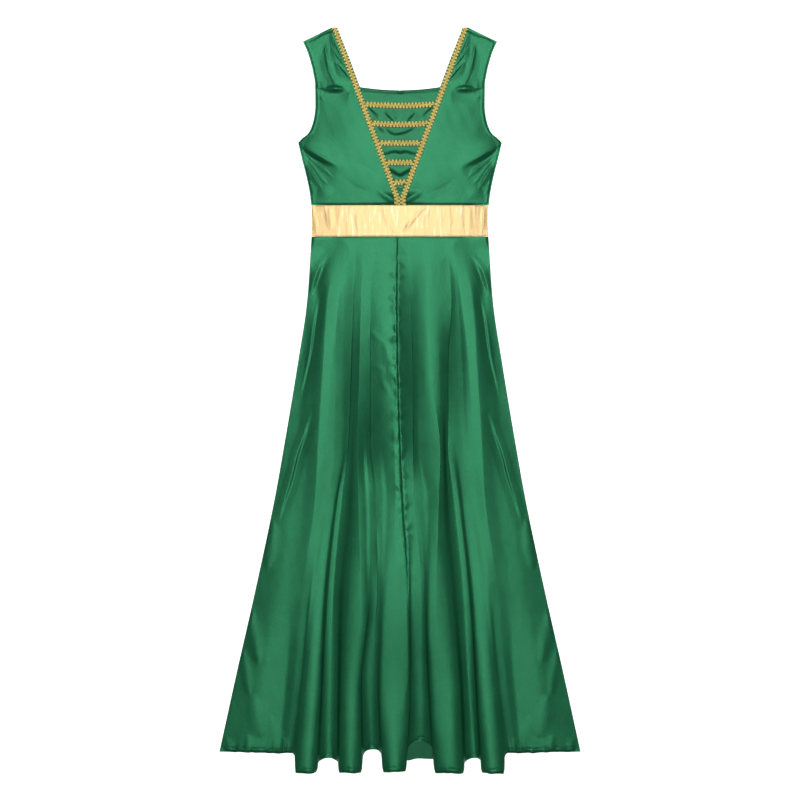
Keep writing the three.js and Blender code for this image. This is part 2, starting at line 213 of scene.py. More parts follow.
def stretched(tree, scale):
    """Texture coordinates from the mesh's own millimetre map, stretched."""
    uv = node(tree, "ShaderNodeUVMap", uv_map="cloth")
    mapping = node(tree, "ShaderNodeMapping", Scale=scale)
    tree.links.new(uv.outputs["UV"], mapping.inputs["Vector"])
    return mapping.outputs["Vector"]


def noise(tree, scale, detail=2.0, stretch=(1, 1, 1)):
    made = node(tree, "ShaderNodeTexNoise", Scale=scale, Detail=detail, Roughness=0.5)
    tree.links.new(stretched(tree, stretch), made.inputs["Vector"])
    return made.outputs["Fac"]


def ramp(tree, fac, low, high):
    made = tree.nodes.new("ShaderNodeValToRGB")
    stops = made.color_ramp.elements
    stops[0].color, stops[0].position = (*low, 1), 0.3
    stops[1].color, stops[1].position = (*high, 1), 0.7
    tree.links.new(fac, made.inputs["Fac"])
    return made.outputs["Color"]


def bump(tree, height, strength, distance, base=None):
    made = node(tree, "ShaderNodeBump", Strength=strength, Distance=distance)
    tree.links.new(height, made.inputs["Height"])
    if base is not None:
        tree.links.new(base, made.inputs["Normal"])
    return made.outputs["Normal"]


def satin(name, dark, light, roughness, metallic):
    """Satin: long floating threads, a soft cloudy gloss, and small pulls in the cloth."""
    material, tree, shader = new_material(name)
    threads = noise(tree, 1.0, 2.0, (2.6, 0.22, 1))
    clouds = noise(tree, 0.018, 3.0)
    fleck = noise(tree, 0.35, 2.0, (1, 0.5, 1))
    colour = ramp(tree, clouds, dark, light)
    mixed = node(tree, "ShaderNodeMix", data_type="RGBA", blend_type="MULTIPLY")
    mixed.inputs["Factor"].default_value = 0.28
    tree.links.new(colour, mixed.inputs["A"])
    tree.links.new(ramp(tree, fleck, (0.6, 0.6, 0.6), (1, 1, 1)), mixed.inputs["B"])
    tree.links.new(mixed.outputs["Result"], shader.inputs["Base Color"])
    shader.inputs["Metallic"].default_value = metallic
    rough = node(tree, "ShaderNodeMapRange")
    rough.inputs["To Min"].default_value = roughness - 0.03
    rough.inputs["To Max"].default_value = roughness + 0.04
    tree.links.new(clouds, rough.inputs["Value"])
    tree.links.new(rough.outputs["Result"], shader.inputs["Roughness"])
    normal = bump(tree, fleck, 0.3, 0.0004)
    tree.links.new(bump(tree, threads, 0.25, 0.00012, normal), shader.inputs["Normal"])
    shader.inputs["Specular IOR Level"].default_value = 0.32
    shader.inputs["Sheen Weight"].default_value = 0.03
    shader.inputs["Sheen Roughness"].default_value = 0.4
    shader.inputs["Sheen Tint"].default_value = (0.3, 1.0, 0.6, 1)
    return material


SATIN = satin("satin", (0.007, 0.122, 0.049), (0.009, 0.146, 0.060), 0.38, 0.62)
INSET_SATIN = satin("inset_satin", (0.006, 0.102, 0.041), (0.008, 0.121, 0.050), 0.38, 0.62)
# The back's reverse side is rougher than the face. Its colour is darker than the face's as painted shade, for
# the back shows only in the shade under the front.
SHADED_SATIN_REVERSE = satin("satin_reverse_painted_shade", (0.005, 0.080, 0.034), (0.007, 0.096, 0.041), 0.46, 0.66)


def gold_cloth():
    """Metallic cloth: foil on a knit, with fine upright streaks."""
    material, tree, shader = new_material("gold_cloth")
    streaks = noise(tree, 0.16, 4.0, (1, 0.13, 1))
    grain = noise(tree, 1.4, 2.0)
    foil = tree.nodes.new("ShaderNodeValToRGB")
    stops = foil.color_ramp.elements
    stops[0].position, stops[0].color = 0.3, (0.42, 0.295, 0.135, 1)
    stops[1].position, stops[1].color = 0.72, (0.57, 0.475, 0.33, 1)
    middle = stops.new(0.56)
    middle.color = (0.445, 0.325, 0.152, 1)
    tree.links.new(streaks, foil.inputs["Fac"])
    tree.links.new(foil.outputs["Color"], shader.inputs["Base Color"])
    shader.inputs["Metallic"].default_value = 0.75
    shader.inputs["Roughness"].default_value = 0.36
    normal = bump(tree, streaks, 0.35, 0.0012)
    tree.links.new(bump(tree, grain, 0.35, 0.00025, normal), shader.inputs["Normal"])
    return material


def braid_gold(name, dark, light, rough=0.3, metallic=0.3, shine=0.5):
    material, tree, shader = new_material(name)
    twist = noise(tree, 0.9, 2.0, (1, 0.3, 1))
    tree.links.new(ramp(tree, twist, dark, light), shader.inputs["Base Color"])
    shader.inputs["Metallic"].default_value = metallic
    shader.inputs["Roughness"].default_value = rough
    shader.inputs["Specular IOR Level"].default_value = shine
    tree.links.new(bump(tree, twist, 0.5, 0.0003), shader.inputs["Normal"])
    return material


GOLD_CLOTH = gold_cloth()
BRAID_CORD = braid_gold("braid_cord", (0.70, 0.52, 0.08), (0.96, 0.79, 0.22))
# The beads are a paler gold than the cords: painted highlight on the braid's loops.
BRAID_BEAD_HIGHLIGHT = braid_gold("braid_bead_painted_highlight", (0.96, 0.82, 0.28), (1.0, 0.95, 0.50))
# A dark olive strip under the cords: painted shade in the gaps between the loops and along the braid's edges.
BRAID_SHADE_STRIP = braid_gold("braid_painted_shade", (0.13, 0.12, 0.022), (0.22, 0.19, 0.04), 0.8, 0.0, 0.05)


FLOOR_HALF, FLOOR_DROP = 40.0, 0.0004


def floor():
    material, tree, shader = new_material("floor")
    paper = node(tree, "ShaderNodeTexNoise", Scale=3.0)
    tree.links.new(ramp(tree, paper.outputs["Fac"], (0.93, 0.93, 0.93), (0.96, 0.96, 0.96)),
                   shader.inputs["Base Color"])
    shader.inputs["Roughness"].default_value = 0.9
    shader.inputs["Specular IOR Level"].default_value = 0.1
    shader.inputs["Emission Color"].default_value = (1, 1, 1, 1)
    shader.inputs["Emission Strength"].default_value = 0.85
    mesh = bpy.data.meshes.new("floor")
    s = FLOOR_HALF
    mesh.from_pydata([(-s, -s, 0), (s, -s, 0), (s, s, 0), (-s, s, 0)], [], [(0, 1, 2, 3)])
    mesh.materials.append(material)
    made = bpy.data.objects.new("floor", mesh)
    made.location = (0, 0, -FLOOR_DROP)
    bpy.context.scene.collection.objects.link(made)


floor()


# ---- Mesh builders ----
def unit_normals(points):
    down = np.gradient(points, axis=0)
    across = np.gradient(points, axis=1)
    normal = np.cross(across, -down)
    return normal / np.linalg.norm(normal, axis=2, keepdims=True)


def add_object(name, verts, faces, material, uv, sharp=None):
    mesh = bpy.data.meshes.new(name)
    mesh.from_pydata((verts * MM).tolist(), [], faces)
    mesh.polygons.foreach_set("use_smooth", np.ones(len(mesh.polygons), bool))
    layer = mesh.uv_layers.new(name="cloth")
    loops = np.empty(len(mesh.loops), int)
    mesh.loops.foreach_get("vertex_index", loops)
    layer.data.foreach_set("uv", uv[loops].ravel())
    if sharp is not None:
        edges = np.empty(len(mesh.edges) * 2, int)
        mesh.edges.foreach_get("vertices", edges)
        edges = edges.reshape(-1, 2)
        mesh.edges.foreach_set("use_edge_sharp", sharp[edges].all(axis=1))
    mesh.materials.append(material)
    made = bpy.data.objects.new(name, mesh)
    bpy.context.scene.collection.objects.link(made)
    return made


def cloth_wall(name, points, material, thickness=CLOTH, normals=None):
    """A closed wall round a grid of middle points, which run down the dress and to the right."""
    rows, cols = points.shape[:2]
    normals = unit_normals(points) if normals is None else normals
    top, under = points + normals * thickness / 2, points - normals * thickness / 2
    verts = np.concatenate([top.reshape(-1, 3), under.reshape(-1, 3)])
    number = np.arange(rows * cols).reshape(rows, cols)
    a, b, c, d = number[:-1, :-1], number[1:, :-1], number[1:, 1:], number[:-1, 1:]
    faces = [np.stack([a, b, c, d], -1).reshape(-1, 4)]
    faces.append(np.stack([a, d, c, b], -1).reshape(-1, 4) + rows * cols)
    ring = np.concatenate([number[:, 0], number[-1, 1:], number[-2::-1, -1], number[0, -2:0:-1]])
    turn = np.roll(ring, -1)
    faces.append(np.stack([ring, ring + rows * cols, turn + rows * cols, turn], -1))
    step_down = np.linalg.norm(np.diff(points, axis=0), axis=2)
    step_across = np.linalg.norm(np.diff(points, axis=1), axis=2)
    v = np.concatenate([np.zeros((1, cols)), np.cumsum(step_down, axis=0)])
    u = np.concatenate([np.zeros((rows, 1)), np.cumsum(step_across, axis=1)], axis=1)
    u = u - u[:, cols // 2, None]
    uv = np.stack([u, v], -1).reshape(-1, 2)
    rim = np.zeros(rows * cols, bool)
    rim[ring] = True
    return add_object(name, verts, np.concatenate(faces).tolist(), material,
                      np.concatenate([uv, uv]), np.concatenate([rim, rim]))


def clustered(count, pull):
    """Shares from 0 to 1 that crowd towards both ends."""
    t = np.linspace(0, 1, count + 1)
    return mix(t, 0.5 - 0.5 * np.cos(np.pi * t), pull)


def dress_piece(piece, cad_node):
    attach(piece, "root")
    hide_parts(cad_node)


# ---- Bodice and waistband ----
SIDE_SEAM = [(WAISTBAND_TOP, 168.7), (390, 171), (421, 177), (460, 186.8), (UNDER_Y, UNDER_HALF)]
ARMHOLE = [
    (UNDER_Y, UNDER_HALF), (497, 185.6), (504.5, 176.1), (512, 171), (523.5, 166.6), (538.7, 163),
    (558, 161), (599.5, 161.5), (622, 165), (645, 170.6), (664, 176.7), (TIP_Y, TIP_HALF),
]
FRONT_RISE = [(WAIST_SEAM, 3), (340, 3.5), (WAISTBAND_TOP, 4), (430, 6), (500, 6), (600, 3.5), (680, 2.6),
              (SHOULDER_TOP, 2.2)]

# Folds of the left half of the bodice; the right half has the same, a little uneven.
# path, half width, height, kind
BODICE_FOLDS = [
    ([(-144, 588.5), (-123, 589.5), (-102, 586)], 8, 3.4, "dent"),
    ([(-150, 589), (-123, 589.5), (-96, 586)], 5, 1.2, "step"),
    ([(-161, 592), (-140, 590)], 3, 0.5, "step"),
    ([(-143, 672), (-137, 630), (-116, 588)], 5, 1.2, "tuck"),
    ([(-143, 676), (-138, 640), (-121, 594)], 4.5, 0.9, "step"),
    ([(-133, 700), (-122, 668), (-104, 640)], 3, 0.9, "tuck"),
    ([(-131, 672), (-119, 648), (-101, 628)], 4, 1.1, "tuck"),
    ([(-124, 643), (-110, 624), (-92, 604)], 4.2, 1.4, "tuck"),
    ([(-153, 577), (-143, 567)], 2.6, 0.6, "dent"),
    ([(-194, 486), (-170, 470), (-140, 456)], 5, 0.9, "step"),
    ([(-186, 476), (-156, 461), (-122, 445)], 8, 2.6, "dent"),
    ([(-186, 476), (-152, 459), (-116, 441)], 7, 1.3, "step"),
    ([(-187, 474), (-166, 456), (-140, 436), (-126, 420)], 3.4, 1.0, "tuck"),
    ([(-181, 461), (-165, 444), (-150, 424), (-136, 408)], 3.2, 0.9, "tuck"),
    ([(-178, 452), (-166, 430), (-148, 402)], 5, 1.6, "tuck"),
    ([(-172, 418), (-160, 388)], 4, 0.9, "tuck"),
    ([(-152, 404), (-132, 384)], 12, 0.9, "swell"),
    ([(2, 376), (-20, 386), (-40, 396)], 10, 2.4, "dent"),
    ([(2, 376), (-20, 386), (-42, 397)], 7, 0.8, "step"),
    ([(-62, 440), (-80, 404)], 30, 0.7, "swell"),
]


def half_width(y):
    return np.where(y >= UNDER_Y, from_table(ARMHOLE, y), from_table(SIDE_SEAM, y))


def v_edge(y):
    return np.maximum(0, (y - V_TIP) * EDGE_SLOPE)


def front_height(x, y):
    half = np.where(y >= WAISTBAND_TOP, half_width(y), WAIST_HALF)
    inside = 1 - np.clip(np.abs(x) / half, 0, 1) ** 3
    rise = from_table(FRONT_RISE, y) * inside
    folds = 0
    for i, (path, width, height, kind) in enumerate(BODICE_FOLDS):
        uneven = 0.88 + 0.24 * ((i * 7) % 5) / 4
        folds = folds + crease(x, y, path, width, height, kind)
        folds = folds + crease(2 * (uneven - 1) - x, y, path, width, height * uneven, kind)
    folds = folds + 0.35 * waver(x, y, 3, 60) + 0.12 * waver(x, y, 4, 22)
    folds = folds * smooth(inside / 0.12) * (y > WAISTBAND_TOP) * smooth((y - WAISTBAND_TOP) / 8)
    return REST + np.maximum(0, rise + folds)


def with_height(x, y, extra=0.0):
    return np.stack([x, y, front_height(x, y) + extra], -1)


def side_front_plan(u, v):
    outer_y = np.where(v <= 1, mix(TIP_Y, UNDER_Y, v), mix(UNDER_Y, WAISTBAND_TOP, v - 1))
    outer_x = -half_width(outer_y) + GAP / 2
    inner_y = mix(SHOULDER_TOP, WAISTBAND_TOP, v / 2)
    inner_x = -v_edge(inner_y) - GAP / 2
    braid_share = BRAID_RUN / (inner_x - outer_x)
    share = np.where(u <= 1, u * (1 - braid_share), 1 - (2 - u) * braid_share)
    y = mix(outer_y, inner_y, np.minimum(1, u))
    return mix(outer_x, inner_x, share), np.maximum(WAISTBAND_TOP + GAP / 2, y)


def edge_roll(distance, depth, width):
    """How far cloth turns down towards an edge that it reaches at distance 0."""
    return -depth * np.exp(-((distance / width) ** 2))


BRAID_COLUMNS = 7
FRONT_U = np.concatenate([clustered(112, 0.4), np.linspace(1, 2, BRAID_COLUMNS)[1:]])
FRONT_V = np.concatenate([np.linspace(0, 1, 141), 1 + clustered(85, 0.4)[1:]])


def side_front(mirrored):
    u, v = np.meshgrid(FRONT_U, FRONT_V)
    x, y = side_front_plan(u, v)
    x = -x if mirrored else x
    to_edge = np.abs(np.abs(x) - half_width(np.clip(y, WAISTBAND_TOP, TIP_Y)))
    roll = edge_roll(y - WAISTBAND_TOP, 1.5, 2.6) + edge_roll(to_edge, 0.6, 2.2)
    slope = (SHOULDER_TOP - TIP_Y) / (TIP_HALF - NECK_HALF)
    to_shoulder = (SHOULDER_TOP - y - slope * (np.abs(x) - NECK_HALF)) / np.hypot(1, slope)
    roll = roll + edge_roll(to_shoulder, 1.3, 3.4 + 1.2 * np.sin(x / 7))
    points = with_height(x, y, roll + 0.25 * np.exp(-(((to_edge - 5) / 2.5) ** 2)))
    points[..., 2] = np.maximum(points[..., 2], REST)
    return points[:, ::-1] if mirrored else points


left_front = side_front(False)
right_front = side_front(True)
bodice_left = cloth_wall("bodice_left_cloth", left_front, SATIN)
bodice_right = cloth_wall("bodice_right_cloth", right_front, SATIN)

# ---- Inset ----
BRAID_BARS = [(561, 2.5), (525, 2.5), (487.5, 0.6), (450.5, 0), (413.5, 0.6)]
INSET_TIP = V_TIP + 5
INSET_TOP = 594
# How far the inset hangs below a level line, at each height; those of the bars are in BRAID_BARS
SAGS = [(INSET_TIP, 0), *reversed(BRAID_BARS), (INSET_TOP, 6.3)]
INSET_FOLDS = [
    ([(-64, 558), (-40, 538)], 3.2, 0.7, "step"),
    ([(41, 539), (64, 558)], 3.2, 0.7, "step"),
    ([(-31, 546), (-10, 528)], 3.6, 0.8, "step"),
    ([(11, 528), (31, 546)], 3.6, 0.8, "step"),
    ([(-30, 517), (-10, 504), (8, 507), (34, 520)], 4, 1.1, "step"),
    ([(-42, 519), (-28, 506)], 2.4, 0.9, "dent"),
    ([(-70, 463), (-40, 466), (-22, 468), (-12, 472), (0, 469), (12, 472), (22, 468), (40, 466), (70, 463)],
     5, 1.3, "step"),
    ([(-46, 452), (-28, 442), (-13, 433), (0, 427), (13, 433), (28, 442), (46, 452)], 6, 1.5, "step"),
    ([(-14, 400), (12, 399)], 2.6, 1.0, "dent"),
    ([(-30, 573), (-16, 577)], 4, 0.4, "swell"),
    ([(20, 576), (40, 572)], 4, 0.4, "swell"),
]


def inset_plan(u, v):
    y = v - from_table(SAGS, v) * (1 - u**2)
    return u * (v_edge(y) - GAP / 2), y


def inset_points(u, v, extra=0.0):
    x, y = inset_plan(u, v)
    points = with_height(x, y, extra)
    for path, width, height, kind in INSET_FOLDS:
        points[..., 2] += crease(x, y, path, width, height, kind)
    top = INSET_TOP - v
    stitches = 0.5 * np.exp(-(((top - 6) / 1.2) ** 2))
    hem = 0.35 * smooth((5.2 - top) / 1.2) + edge_roll(top, 0.6, 1.6) - stitches
    pucker = -1.2 * np.exp(-((x / 4.5) ** 2) - ((top - 4) / 4) ** 2)
    points[..., 2] = np.maximum(REST, points[..., 2] + hem + pucker)
    return points


u, v = np.meshgrid(np.linspace(-1, 1, 101), mix(INSET_TOP, INSET_TIP, clustered(120, 0.4)))
inset = cloth_wall("inset_cloth", inset_points(u, v), INSET_SATIN)

# ---- Waistband ----
BAND_FOLDS = [
    ([(-166, 368), (-158, 314)], 5, 0.3, "swell"),
    ([(-134, 366), (-131, 322)], 6, 0.3, "swell"),
    ([(-112, 368), (-124, 316)], 3, 0.15, "fold"),
    ([(-95, 368), (-99, 312)], 3, 0.2, "fold"),
    ([(-80, 366), (-79, 322)], 5, 0.3, "swell"),
    ([(-66, 368), (-62, 330)], 3, 0.15, "fold"),
    ([(-34, 368), (-24, 340), (-8, 316)], 4, 0.3, "swell"),
    ([(-18, 366), (-4, 338)], 3, 0.15, "fold"),
    ([(46, 366), (26, 344), (6, 318)], 4.5, 0.75, "fold"),
    ([(58, 364), (36, 336), (24, 318)], 5, 0.3, "swell"),
    ([(70, 366), (78, 316)], 3, 0.15, "fold"),
    ([(92, 368), (96, 318)], 5, 0.3, "swell"),
    ([(108, 368), (122, 316)], 3, 0.15, "fold"),
    ([(131, 366), (134, 322)], 6, 0.3, "swell"),
    ([(160, 366), (156, 320)], 5, 0.3, "swell"),
]


def band_points(u, v):
    x, y = u * (WAIST_HALF - GAP / 2), mix(WAISTBAND_TOP - GAP / 2, WAIST_SEAM + GAP / 2, v)
    points = with_height(x, y)
    for path, width, height, kind in BAND_FOLDS:
        points[..., 2] += crease(x, y, path, width, height, kind)
    to_seam = np.minimum(WAISTBAND_TOP - y, y - WAIST_SEAM)
    points[..., 2] += edge_roll(to_seam, 0.5, 1.5) + 0.15 * waver(x * 3, y, 11, 60)
    points[..., 2] = np.maximum(REST, points[..., 2])
    return points


u, v = np.meshgrid(np.linspace(-1, 1, 257), clustered(48, 0.6))
band = cloth_wall("waistband_cloth", band_points(u, v), GOLD_CLOTH)

# ---- Skirt front ----
STATIONS = [0, 0.12, 0.25, 0.4, 0.5, 0.69, 0.85, 1]
# name: sideways place at each station; rise over the resting level from the second station on; length
SIDES = {
    "side_seam": ([-168, -176, -194.8, -219.2, -236.5, -275.5, -311, -343], [0, 0, 0, 0, 0, 0, 0], 978),
    "side_swell": ([-160, -168, -182, -199, -212, -232, -256, -276], [0.5, 0.9, 1.9, 2.6, 4.6, 5, 4.4], 979),
    "side_dip": ([-149, -158, -169, -181, -186, -207, -218, -232], [1, 3.9, 3.8, 4.3, 5.8, 4.6, 3.4], 980),
    "hip_ridge": ([-104, -137, -146, -155, -160, -186, -200, -217], [5.2, 8.4, 7.8, 7.4, 7.6, 7, 5], 980),
    "hip_dip": ([-99, -117, -132, -140, -146, -173, -187, -206], [5.6, 8.2, 7.2, 6.3, 8.6, 8.4, 6.4], 980),
}
MIDDLE = {
    "flute_1": ([-94, -110, -112, -115, -130, -156, -167, -177], [5.2, 6.1, 4.6, 5.2, 10, 14, 17], 1017),
    "valley_1": ([-82, -88, -92, -98, -110, -127, -132, -135], [2.8, 2.4, 1.2, 1.6, 3.6, 2, 0], 991),
    "flute_2": ([-66, -74, -77, -80, -78, -74, -93, -95], [4.2, 6.2, 8, 13.4, 20, 16.5, 17], 1016),
    "valley_2": ([-48, -56, -56, -56, -47, -43, -57, -52], [3.4, 3, 1, 8, 14.6, 8, 0], 974),
    "flute_3": ([-25, -28, -16, -10, -8, -8, -16, -9], [4.8, 7.6, 9.2, 12.6, 18, 14, 16.5], 1014.5),
    "valley_3": ([17, 20, 24, 25, 26, 40, 38, 38], [1.4, 1.2, 2.6, 10, 15, 7, 0], 958),
    "flute_4": ([52, 55, 58, 76, 73, 68, 93, 98], [5.2, 7.4, 13.5, 16.6, 19.5, 17.5, 18], 1017),
    "valley_4": ([83, 98, 91, 91, 102, 121, 130, 141], [2.6, 0.6, 2.4, 1.6, 3.6, 2, 0], 991),
    "flute_5": ([94, 110, 118, 122, 126, 151, 165, 177], [4.8, 5.8, 6, 5.2, 9.8, 14, 17], 1017),
}
# how sharp each line is at each station
POINTED = {
    "valley_1": [0, 1, 1, 0.8, 0.6, 0.3, 0.2, 0],
    "flute_2": [0, 1, 1, 0.9, 0.8, 0.4, 0, 0],
    "valley_2": [0, 1, 1, 1, 0.9, 0.7, 0.4, 0.2],
    "flute_3": [0, 0, 0.2, 0.5, 0.6, 0.2, 0, 0],
    "valley_3": [0, 1, 1, 0.9, 0.7, 0.5, 0.3, 0.2],
    "flute_4": [0, 0.2, 0.3, 0.9, 0.8, 0.4, 0, 0],
    "valley_4": [0, 0.8, 0.9, 0.6, 0.4, 0.2, 0.2, 0],
}
# between which two lines: place of the steepest slope at each station, share of the drop that it
# takes, and its share of the way across
WALLS = {
    "flute_1": ([-88, -99, -102, -106, -122, -142, -149, -156], [0, 0, 0, 0, 0.5, 0.5, 0.3, 0], 0.4),
    "valley_1": ([-75, -81, -84, -90, -94, -110, -115, -117], [0, 0, 0, 0.3, 0.4, 0.4, 0.3, 0], 0.45),
    "flute_2": ([-57, -65, -66, -68, -62, -60, -74, -71], [0, 0, 0, 0, 0, 0, 0.2, 0], 0.6),
    "valley_2": ([-36, -44, -38, -34, -28, -34, -40, -34], [0, 0, 0, 0, 0, 0.2, 0.2, 0], 0.4),
    "flute_3": ([-4.8, -6, -4.4, 0, 4, 16, 19, 12.5], [0, 0, 0, 0, 0, 0.1, 0.1, 0], 0.5),
    "valley_3": ([35, 36, 38, 38, 50, 50, 55, 64], [0, 0, 0, 0, 0, 0.3, 0.3, 0], 0.42),
    "flute_4": ([70, 77, 82, 84, 87, 103, 116, 122], [0, 0, 0.2, 0.3, 0.4, 0.4, 0.2, 0], 0.45),
    "valley_4": ([88, 103, 103, 106, 116, 136, 145, 154], [0, 0, 0, 0, 0.5, 0.5, 0.3, 0], 0.4),
}
OUTER_WALLS = {4: -199.5, 13: 198.5}
LINES = [(n, *SIDES[n]) for n in SIDES] + [(n, *MIDDLE[n]) for n in MIDDLE]
LINES += [(n, [-x for x in SIDES[n][0]], *SIDES[n][1:]) for n in reversed(SIDES)]
CENTRE_SEAM = 9.5
STEEP_FROM, STEEPEST = 0.45, 0.92


def line_x(row, v):
    return through(STATIONS, row[1], v)


def line_rise(row, v):
    at_waist = float(front_height(np.array(row[1][0]), np.array(WAIST_SEAM))) - REST
    return through(STATIONS, [at_waist, *row[2]], v)


def skirt_points(us, vs):
    """Points of the skirt front: u counts fold lines from the left seam, v runs from waist to hem."""
    points = np.zeros((len(vs), len(us), 3))
    steep = smooth((vs - STEEP_FROM) / (1 - STEEP_FROM))[:, None]
    crest = through(STATIONS, [0, 0.1, 0.3, 0.4, 0.5, 0.2, 0, 0], vs)[:, None]
    late = through(STATIONS, [0.3, 1, 1, 0.6, 0.3, 0, 0, 0], vs)[:, None]
    places = np.stack([line_x(row, vs) for row in LINES])
    rises = np.stack([line_rise(row, vs) for row in LINES])
    slopes = tangents(np.diff(rises, axis=0) / np.diff(places, axis=0))
    for k, (a, b) in enumerate(zip(LINES[:-1], LINES[1:])):
        here = (us >= k) & ((us < k + 1) | (k == len(LINES) - 2))
        if not here.any():
            continue
        s = (us[here] - k)[None, :]
        ax, bx, az, bz = (m[:, None] for m in (places[k], places[k + 1], rises[k], rises[k + 1]))
        at_seam = a[0] == "flute_3"
        if a[0] in WALLS:
            place, share, width = WALLS[a[0]]
            wall = through(STATIONS, place, vs)[:, None]
            weight = through(STATIONS, share, vs)[:, None]
        else:
            at_hem = (a[1][-1] + b[1][-1]) / 2
            wall = (ax + bx) / 2 + (OUTER_WALLS.get(k, at_hem) - at_hem) * steep
            weight, width = 0 * steep, 0.5
        pull = STEEPEST * steep * (a[0] in MIDDLE or b[0] in MIDDLE)
        straight = np.where(s < 0.5, mix(ax, wall, 2 * s), mix(bx, wall, 2 - 2 * s))
        lean = np.clip(wall - (ax + bx) / 2, -0.24 * (bx - ax), 0.24 * (bx - ax))
        bent = straight if at_seam else mix(ax, bx, s) + 4 * lean * s * (1 - s)
        from_left, from_right = np.sin(s * np.pi), np.sin((1 - s) * np.pi)
        steep_x = np.where(s < 0.5, mix(ax, wall, from_left), mix(bx, wall, from_right))
        x = mix(bent, steep_x, pull)
        t = mix(s, np.maximum(0, (s - 0.42) / 0.58), late) if at_seam else s
        fall = mix(smooth(t), smooth((s - 0.5) / width + 0.5), weight)
        from_a, from_b = slopes[k][:, None] * (bx - ax), slopes[k + 1][:, None] * (bx - ax)
        # the hip ridge comes to a crest, steeper on its outer side
        ridge_slope = 1.9 if "side_dip" in (a[0], b[0]) else 1.3
        if b[0] == "hip_ridge":
            from_b = mix(from_b, ridge_slope * (bz - az), crest)
        if a[0] == "hip_ridge":
            from_a = mix(from_a, ridge_slope * (bz - az), crest)
        if a[0] in POINTED:
            from_a = mix(from_a, bz - az, through(STATIONS, POINTED[a[0]], vs)[:, None])
        if b[0] in POINTED:
            from_b = mix(from_b, bz - az, through(STATIONS, POINTED[b[0]], vs)[:, None])
        bend = (from_a * (t - 1) + from_b * t) * t * (t - 1) * (1 - weight)
        # share of the way from the length of line a to that of line b; a flute's mouth is square
        if a[0].startswith("flute"):
            reach = 0.62 * smooth((s - 0.38) / 0.28) + 0.38 * smooth((s - 0.42) / 0.5)
        elif b[0].startswith("flute"):
            reach = 1 - (0.62 * smooth((0.62 - s) / 0.28) + 0.38 * smooth((0.58 - s) / 0.5))
        else:
            reach = smooth(s)
        trim = 1.7 * waver(x, 0 * x, 31, 44) + 0.9 * waver(x, 0 * x, 32, 17)
        trim = trim * smooth((vs[:, None] - 0.9) * 10)
        y = WAIST_SEAM - GAP / 2 - vs[:, None] * mix(a[3], b[3], reach) + trim
        z = REST + mix(az, bz, fall) + bend
        points[:, here] = np.stack(np.broadcast_arrays(x, y, z), -1)
    return points


# Creases of the skirt: path, half width, height. One with a height below 0 is drawn as a step, the
# others as swells. Those of the sides come again on the right.
SIDE_CREASES = [
    ([(-145, 268), (-158, 236), (-169, 200)], 2.4, -0.5),
    ([(-138, 275), (-152, 242), (-167, 198)], 2.4, -0.5),
    ([(-152, 200), (-163, 141), (-169, 94), (-179, 46), (-188, 6)], 3, -0.75),
    ([(-166, -20), (-184, -77), (-194, -105), (-203, -143), (-215, -182), (-230, -232)], 3, -0.8),
    ([(-240, -230), (-252, -320)], 12, 1.2),
    ([(-292, -380), (-268, -500)], 12, 1.2),
    ([(-300, -470), (-286, -560)], 9, 0.9),
    ([(-282, -560), (-262, -640)], 16, 0.9),
    ([(-246, -600), (-232, -668)], 11, 0.6),
    ([(-330, -640), (-322, -668)], 8, 0.5),
    ([(-290, -636), (-286, -668)], 8, 0.5),
    ([(-222, -640), (-214, -668)], 8, 0.5),
]
SKIRT_CREASES = [
    ([(-58, 135), (-44, 118), (-30, 108)], 6, 0.5),
    ([(-56, 66), (-40, 60), (-28, 54)], 5, 0.5),
    ([(-36, 36), (-20, 12)], 6, 0.5),
    ([(-30, 110), (-16, 60), (-8, 10)], 9, 0.7),
    ([(18, -250), (19, -500), (10, -600)], 2.4, -0.5),
    ([(-45, -240), (-43, -330)], 9, -0.4),
]
WAIST_CORNER = [(-186, 274), (-160, 294), (-122, 322)]
PUCKERS_FROM, PUCKERS_TO = 302.0, -330
# Columns of cloth between one fold line and the next, counted from the nearer side seam
COLUMNS = {0: 34, 1: 24, 2: 14, 3: 10, 4: 16}
OTHER_COLUMNS = 20
SHARP_LINES = (6, 7, 8, 10, 11, 12)
SHARP_COLUMN = 0.004
SEAM_COLUMNS = np.array([0.012, 0.03, 0.05, 0.08, 0.12])


def skirt_detail(points):
    x, y = points[..., 0], points[..., 1]
    out = 0.25 * waver(x, y * 0.3, 21, 110) + 0.06 * waver(x, y * 0.5, 22, 24)
    for path, width, height in SKIRT_CREASES + SIDE_CREASES:
        out = out + crease(x, y, path, width, height, "step" if height < 0 else "swell")
    for path, width, height in SIDE_CREASES:
        out = out + crease(-x, y, path, width, height * 0.95, "step" if height < 0 else "swell")
    for flip in (1, -1):
        out = out + crease(flip * x, y, WAIST_CORNER, 20, 1.3, "step")
    return out


def seam_puckers(distance, y, side):
    """Uneven puckers along the centre seam, dying out towards the hem."""
    rng = np.random.default_rng(40 + side)
    out = np.zeros(y.shape)
    at = PUCKERS_FROM
    while at > PUCKERS_TO:
        step = rng.uniform(6, 15)
        size, reach = rng.uniform(0.9, 3.0), rng.uniform(3.5, 12)
        lean = rng.uniform(-0.7, 0.7)
        fade = np.interp(at, [PUCKERS_TO, -220, 120, PUCKERS_FROM], [0.3, 1.0, 1.0, 0.35])
        bump_y = (y - at - lean * distance) / (step * 0.4)
        off_seam = distance / (distance + 1)
        out += fade * size * np.exp(-(bump_y**2)) * np.exp(-((distance / reach) ** 2)) * off_seam
        at -= step
    return out


